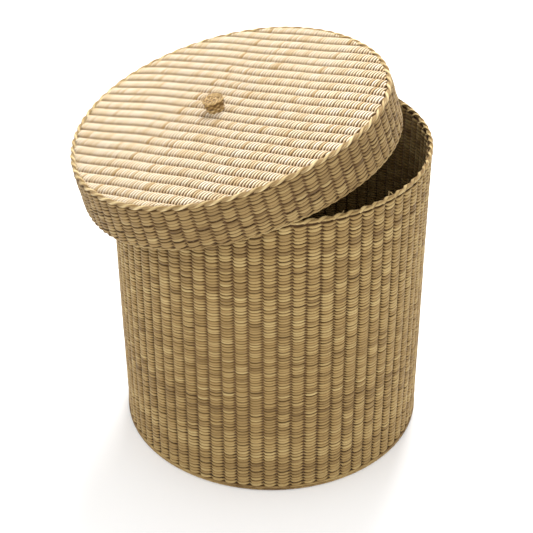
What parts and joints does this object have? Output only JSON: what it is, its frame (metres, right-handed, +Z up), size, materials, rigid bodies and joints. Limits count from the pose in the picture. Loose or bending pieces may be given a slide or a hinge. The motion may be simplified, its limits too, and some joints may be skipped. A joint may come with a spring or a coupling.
{
  "type": "lidded wicker basket",
  "caption": "Round straight-sided basket of twined straw with a flat woven lid, lying tipped on the rim, with a small woven knob.",
  "frame": {"origin": "centre of the base's flat underside, on the floor", "axes": "+Z up through the basket; -X towards the side the lid is tipped down to; -Y towards the front"},
  "size_m": [0.4033, 0.3694, 0.4464],
  "materials": {
    "weave_base": "dry matt straw",
    "weave_wall": "dry matt straw, strand tones vary",
    "weave_inside": "dry matt straw, darker",
    "weave_skirt": "dry matt straw",
    "weave_lid": "pale dry straw",
    "rods": "peeled stem",
    "rim": "pale folded straw",
    "cord": "pale laid straw"
  },
  "bodies": {
    "basket": {"base_weave_under": "weave_base", "base_weave_inside": "weave_base", "base_rods": "rods", "base_border": "weave_base", "wall_weave_outer": "weave_wall", "wall_weave_inner": "weave_inside", "wall_stakes": "rods", "rim_border": "rim"},
    "lid": {"lid_weave_top": "weave_lid", "lid_weave_under": "weave_inside", "lid_rods": "rods", "lid_edge_cord": "cord", "lid_skirt_weave_outer": "weave_skirt", "lid_skirt_weave_inner": "weave_inside", "lid_skirt_stakes": "rods", "lid_skirt_hem": "cord", "knob_weave": "cord", "knob_core": "rods", "knob_tie": "cord", "knob_back_stitch": "cord"}
  },
  "joints": [
    {"name": "lid_lift", "type": "slide", "parent": "basket", "child": "lid", "axis": [0, 0, 1], "range_m": [0, 0.25]}
  ]
}
